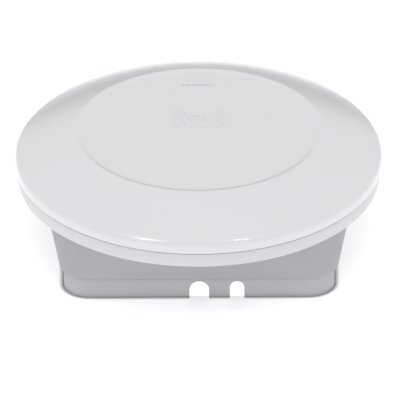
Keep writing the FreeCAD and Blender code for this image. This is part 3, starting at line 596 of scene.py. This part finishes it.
def makeBase():
    design, lock, socket = baseDesign, lockDesign, socketDesign
    bm = bmesh.new()
    steps = design["cornerSteps"]
    loops = []
    for angle in (0, pi / 8, pi / 4, 3 * pi / 8, pi / 2):
        inset = design["footRound"] * (1 - sin(angle))
        z = design["low"] + design["footRound"] * (1 - cos(angle))
        loops.append(squareLoop(bm, design["lowHalf"] - inset, design["lowCorner"] - inset, z, steps))
    loops.append(squareLoop(bm, design["highHalf"], design["highCorner"], design["high"], steps))
    wall = design["wall"]
    loops.append(squareLoop(bm, design["highHalf"] - wall, design["highCorner"] - wall, design["high"],
                            steps))
    loops.append(squareLoop(bm, design["lowHalf"] - wall + design["innerSpread"],
                            design["lowCorner"] - wall + design["innerCornerSpread"],
                            design["low"] + design["floor"], steps))
    bridgeAll(bm, loops)
    bmesh.ops.contextual_create(bm, geom=loops[0])
    bmesh.ops.contextual_create(bm, geom=loops[-1])
    faceUp(bm)
    base = makeObject(bm, "baseHousing")

    def bayLiner(tool):
        addBlock(tool, (design["bayLeft"] - design["bayWall"], design["bayFront"] - design["bayWall"],
                        design["low"] + 1), (design["bayRight"] + design["bayWall"],
                                             design["bayBack"] + design["bayWall"],
                                             design["bayTop"] + design["bayRoof"]))

    def posts(tool):
        for x, y in corners(design["postPlace"], design["postPlace"]):
            addRod(tool, x, y, design["low"] + 1, design["high"] - design["shortOfTop"],
                   design["postRadius"])
        for x, y in corners(design["boardPostX"], design["boardPostY"]):
            addRod(tool, x, y, design["low"] + 1, socket["boardLow"], design["boardPostRadius"])
    combine(base, [toolObject(bayLiner), toolObject(posts)], "UNION")

    def bay(tool):
        addBlock(tool, (design["bayLeft"], design["bayFront"], design["low"] - 1),
                 (design["bayRight"], design["bayBack"], design["bayTop"]))

    def sockets(tool):
        back = (design["bayBack"] - 0.5, design["bayBack"] + design["bayWall"] + 0.5)
        for x, width, height in ((0, socket["jackWidth"], socket["jackHeight"]),
                                 (socket["powerX"], socket["powerWidth"], socket["powerHeight"])):
            addBlock(tool, (x - width / 2 - socket["sidePlay"], back[0],
                            socket["boardLow"] - height - socket["lowPlay"]),
                     (x + width / 2 + socket["sidePlay"], back[1], socket["boardLow"] + socket["highPlay"]))
        addRodBack(tool, socket["buttonX"], socket["buttonZ"], back[0], back[1],
                   socket["buttonRadius"] + socket["buttonPlay"])

    def screwHoles(tool):
        for x, y in corners(design["postPlace"], design["postPlace"]):
            addRod(tool, x, y, design["low"] - 1, design["low"] + design["headDepth"], design["headRadius"])

    def screwBores(tool):
        for x, y in corners(design["postPlace"], design["postPlace"]):
            addRod(tool, x, y, design["low"] + 1, design["high"] + 1, design["holeRadius"], 24)
        for x, y in corners(design["boardPostX"], design["boardPostY"]):
            addRod(tool, x, y, socket["boardLow"] - design["boardHoleDeep"], socket["boardLow"] + 1,
                   design["holeRadius"], 24)

    def keyholes(tool):
        for quarter in (0, 90, 180, 270):
            keyholeTool(tool, lock, quarter, design["low"] - 1, design["low"] + design["floor"] + 1)
    combine(base, [toolObject(build) for build in (bay, sockets, screwHoles, screwBores, keyholes)])
    finishPiece(base, "sparkErodedGreyAbs", "access_point", ["base_housing"])


# ceiling bracket
bracketDesign = {"half": 73.4, "corner": 14.2, "high": 11.0, "wall": 2.4, "plate": 2.0, "cornerSteps": 16,
                 "softEdge": 0.4, "wideNotch": 10.5, "narrowNotch": 7.7, "narrowX": 20.5, "notchHeight": 9.6,
                 "windowLeft": -22.0, "windowRight": 27.5, "windowFront": -63.5, "windowBack": -28.0,
                 "cableHole": 22.0, "patternY": 15.0, "anchorX": 50.0, "anchorY": 45.0, "anchorHole": 2.25,
                 "boxX": 41.65, "boxHole": 2.0}


def makeBracket():
    design = bracketDesign
    bm = bmesh.new()
    half, corner, steps = design["half"], design["corner"], design["cornerSteps"]
    loops = [squareLoop(bm, half, corner, 0, steps), squareLoop(bm, half, corner, design["high"], steps)]
    bridgeAll(bm, loops)
    bmesh.ops.contextual_create(bm, geom=loops[0])
    top = bmesh.ops.contextual_create(bm, geom=loops[1])["faces"]
    faceUp(bm)
    bmesh.ops.inset_region(bm, faces=top, thickness=design["wall"], use_even_offset=True)
    pushFaces(bm, top, design["plate"] - design["high"])
    faceUp(bm)
    upper = [edge for edge in bm.edges if all(vert.co.z > design["high"] - touching for vert in edge.verts)
             and any(abs(face.normal.z) < 0.5 for face in edge.link_faces)]
    roundOff(bm, upper, design["softEdge"], 3)
    bracket = makeObject(bm, "mountingBracket")

    def notch(x, width):
        def build(tool):
            top = design["notchHeight"] - width / 2
            addBlock(tool, (x - width / 2, -half - 1, -1), (x + width / 2, design["windowFront"] + 0.2, top))

        def arch(tool):
            addRodBack(tool, x, design["notchHeight"] - width / 2, -half - 1, design["windowFront"] + 0.2,
                       width / 2, 48)
        return [toolObject(build), toolObject(arch)]

    def openings(tool):
        addBlock(tool, (design["windowLeft"], design["windowFront"], -1),
                 (design["windowRight"], design["windowBack"], design["plate"] + 1))

    def holes(tool):
        addRod(tool, 0, design["patternY"], -1, design["plate"] + 1, design["cableHole"], 96)
        for x, y in corners(design["anchorX"], design["anchorY"]):
            addRod(tool, x, y + design["patternY"], -1, design["plate"] + 1, design["anchorHole"])
        for x in (design["boxX"], -design["boxX"]):
            addRod(tool, x, design["patternY"], -1, design["plate"] + 1, design["boxHole"])
    tools = notch(0, design["wideNotch"]) + notch(design["narrowX"], design["narrowNotch"])
    combine(bracket, tools + [toolObject(openings), toolObject(holes)])
    finishPiece(bracket, "paleGreyAbsPaintedLight", "mounting_bracket", ["mounting_bracket"])


def makeStuds():
    lock, base = lockDesign, baseDesign
    headLow = base["low"] + base["floor"] + lock["play"]
    headHigh = headLow + lock["headHeight"]
    shank, head, foot = lock["studRadius"], lock["headRadius"], lock["studRadius"] + lock["footWiden"]
    low = lock["footLow"]
    footSoft, headSoft, footHigh = lock["footSoft"], lock["headSoft"], low + lock["footHeight"]
    profile = [(0, low), (foot, low), (foot, footHigh - footSoft), (foot - footSoft, footHigh),
               (shank, footHigh), (shank, headLow), (head, headLow), (head, headHigh - headSoft),
               (head - headSoft, headHigh), (0, headHigh)]
    bm = bmesh.new()
    for quarter in (0, 90, 180, 270):
        angle = radians(lock["angle"] + quarter)
        stud = turnProfile(bm, profile, lock["studSides"])
        bmesh.ops.translate(bm, vec=(lock["place"] * cos(angle), lock["place"] * sin(angle), 0), verts=stud)
    faceUp(bm)
    finishPiece(makeObject(bm, "lockStuds"), "zincPlatedSteel", "mounting_bracket", ["lock_studs"])


makeCover()
makeRing()
makeBase()
makeBracket()
makeStuds()


# camera, floor and light
# frameWidth is how much is seen across the frame at the aim, mm
viewDesign = {"elevation": 30.2, "distance": 7000, "frameWidth": 218.3406, "aim": (0.66, 0.0, 17.9),
              "roll": -0.3, "farthest": 40}


def addCamera(design):
    tilt = radians(design["elevation"])
    back = Vector((0, -cos(tilt), sin(tilt)))
    aim = Vector(design["aim"]) * mm
    data = bpy.data.cameras.new("camera")
    data.sensor_width = 36
    data.lens = design["distance"] * data.sensor_width / design["frameWidth"]
    data.clip_end = design["farthest"]
    camera = bpy.data.objects.new("camera", data)
    turn = Matrix.Rotation(pi / 2 - tilt, 4, "X") @ Matrix.Rotation(radians(design["roll"]), 4, "Z")
    camera.matrix_world = Matrix.Translation(aim + back * design["distance"] * mm) @ turn
    bpy.context.collection.objects.link(camera)
    bpy.context.scene.camera = camera


# the dark grey for the sweep is a painted contact shadow round the foot
stageDesign = {"floorSize": 3000, "paper": "FFFFFF", "paintedContactShadow": "7E8083", "brightRadius": 260,
               "dimRadius": 520, "nearGlow": 0.36, "farGlow": 0.0, "underGlow": 1.0, "underInset": 1.2,
               "contactWidth": 3.0, "contactGlow": 0.0, "roughness": 0.16, "world": 0.71, "behind": 0.08,
               "dimFrom": 0.91, "dimTo": 0.98}


# white sweep under the product: it glows a little near by, and not where the foot touches it; a painted
# contact shadow darkens its colour in a thin band round the foot
def addFloor(design):
    bm = bmesh.new()
    bmesh.ops.create_grid(bm, x_segments=1, y_segments=1, size=design["floorSize"] * mm)
    mesh = bpy.data.meshes.new("studioFloor")
    bm.to_mesh(mesh)
    bm.free()
    floor = bpy.data.objects.new("studioFloor", mesh)
    bpy.context.collection.objects.link(floor)
    values = {"Roughness": design["roughness"], "IOR": 1.45}
    material, tree, paper, place = startMaterial("whiteSweep", values)
    away = addNode(tree, "ShaderNodeVectorMath", settings={"operation": "LENGTH"}, links={"Vector": place})
    fall = addNode(tree, "ShaderNodeMapRange", settings={"interpolation_type": "SMOOTHSTEP"},
                   values={"From Min": design["brightRadius"] * mm, "From Max": design["dimRadius"] * mm,
                           "To Min": design["nearGlow"], "To Max": design["farGlow"]},
                   links={"Value": away.outputs["Value"]})
    # distance outwards from the square that joins the centres of the foot's rounded corners
    core = (bracketDesign["half"] - bracketDesign["corner"]) * mm
    corner = bracketDesign["corner"] * mm
    size = addNode(tree, "ShaderNodeVectorMath", settings={"operation": "ABSOLUTE"}, links={"Vector": place})
    beyond = addNode(tree, "ShaderNodeVectorMath", settings={"operation": "SUBTRACT"},
                     values={1: (core, core, 0)}, links={0: size.outputs["Vector"]})
    outside = addNode(tree, "ShaderNodeVectorMath", settings={"operation": "MAXIMUM"}, values={1: (0, 0, 0)},
                      links={0: beyond.outputs["Vector"]})
    gap = addNode(tree, "ShaderNodeVectorMath", settings={"operation": "LENGTH"},
                  links={"Vector": outside.outputs["Vector"]})
    reach = addNode(tree, "ShaderNodeMapRange",
                    values={"From Min": corner, "From Max": corner + design["contactWidth"] * mm},
                    links={"Value": gap.outputs["Value"]})
    # the painted contact shadow is left out in front of the foot's two notches
    axes = addNode(tree, "ShaderNodeSeparateXYZ", links={"Vector": place})
    touch = reach.outputs["Result"]
    notches = ((0, bracketDesign["wideNotch"]), (bracketDesign["narrowX"], bracketDesign["narrowNotch"]))
    for x, width in notches:
        across = addNode(tree, "ShaderNodeMath", settings={"operation": "COMPARE"},
                         values={1: x * mm, 2: width / 2 * mm}, links={0: axes.outputs["X"]})
        front = addNode(tree, "ShaderNodeMath", settings={"operation": "LESS_THAN"}, values={1: 0},
                        links={0: axes.outputs["Y"]})
        both = addNode(tree, "ShaderNodeMath", settings={"operation": "MULTIPLY"},
                       links={0: across.outputs["Value"], 1: front.outputs["Value"]})
        touch = addNode(tree, "ShaderNodeMath", settings={"operation": "MAXIMUM"},
                        links={0: touch, 1: both.outputs["Value"]}).outputs["Value"]
    # painted contact shadow: the floor's colour turns dark grey in a thin band round the foot
    colour = mixColours(tree, touch, design["paintedContactShadow"], design["paper"])
    tree.links.new(colour, paper.inputs["Base Color"])
    rise = addNode(tree, "ShaderNodeMix", values={"A": design["contactGlow"]},
                   links={"Factor": touch, "B": fall.outputs["Result"]})
    inside = addNode(tree, "ShaderNodeMath", settings={"operation": "LESS_THAN"},
                     values={1: corner - design["underInset"] * mm}, links={0: gap.outputs["Value"]})
    glow = addNode(tree, "ShaderNodeMix", values={"B": design["underGlow"]},
                   links={"Factor": inside.outputs["Value"], "A": rise.outputs["Result"]})
    paper.inputs["Emission Color"].default_value = hexColour("FFFFFF")
    tree.links.new(glow.outputs["Result"], paper.inputs["Emission Strength"])
    mesh.materials.append(material)


lamps = {
    # name: (place, width, height, power, aim, kinds of light it gives), metres and watts
    "frontSoftbox": ((0.0, -1.2, 1.5), 1.0, 0.8, 0.8, (0, 0, 0.03), "diffuse"),
    "topSoftbox": ((0.0, -0.1, 1.5), 1.0, 0.9, 4.6, (0, 0, 0.04), "diffuse"),
    "lowLeft": ((-1.45, -0.7, 0.30), 0.5, 0.5, 2.4, (0, 0, 0.02), "diffuse"),
    "lowRight": ((1.45, -0.7, 0.30), 0.5, 0.5, 2.2, (0, 0, 0.02), "diffuse"),
    "leftEdgeStrip": ((-0.62, -0.80, 1.20), 0.06, 0.34, 5, (0, 0, 0.05), "glossy"),
    "rightEdgeStrip": ((0.48, -0.71, 1.35), 0.07, 0.40, 3, (0, 0, 0.05), "glossy"),
}


def addLamps(design):
    for name, (place, sizeX, sizeY, power, aim, kinds) in design.items():
        data = bpy.data.lights.new(name, "AREA")
        data.shape = "RECTANGLE"
        data.size, data.size_y, data.energy = sizeX, sizeY, power
        lamp = bpy.data.objects.new(name, data)
        lamp.location = place
        lamp.rotation_euler = (Vector(aim) - Vector(place)).to_track_quat("-Z", "Y").to_euler()
        lamp.visible_diffuse = "diffuse" in kinds
        lamp.visible_glossy = "glossy" in kinds
        bpy.context.collection.objects.link(lamp)


# pale room, dimmer low down behind the product so that its far edge reads against the white
def addWorld(design):
    world = bpy.data.worlds.new("paleRoom")
    world.use_nodes = True
    tree = world.node_tree
    backdrop = tree.nodes["Background"]
    backdrop.inputs["Color"].default_value = hexColour("FFFFFF")
    where = addNode(tree, "ShaderNodeTexCoord")
    axes = addNode(tree, "ShaderNodeSeparateXYZ", links={"Vector": where.outputs["Generated"]})
    dim = addNode(tree, "ShaderNodeMapRange", settings={"interpolation_type": "SMOOTHSTEP"},
                  values={"From Min": design["dimFrom"], "From Max": design["dimTo"],
                          "To Min": design["world"], "To Max": design["behind"]},
                  links={"Value": axes.outputs["Y"]})
    tree.links.new(dim.outputs["Result"], backdrop.inputs["Strength"])
    bpy.context.scene.world = world
    bpy.context.scene.view_settings.view_transform = "Standard"


addCamera(viewDesign)
addFloor(stageDesign)
addLamps(lamps)
addWorld(stageDesign)
print("camera, floor and light ready")
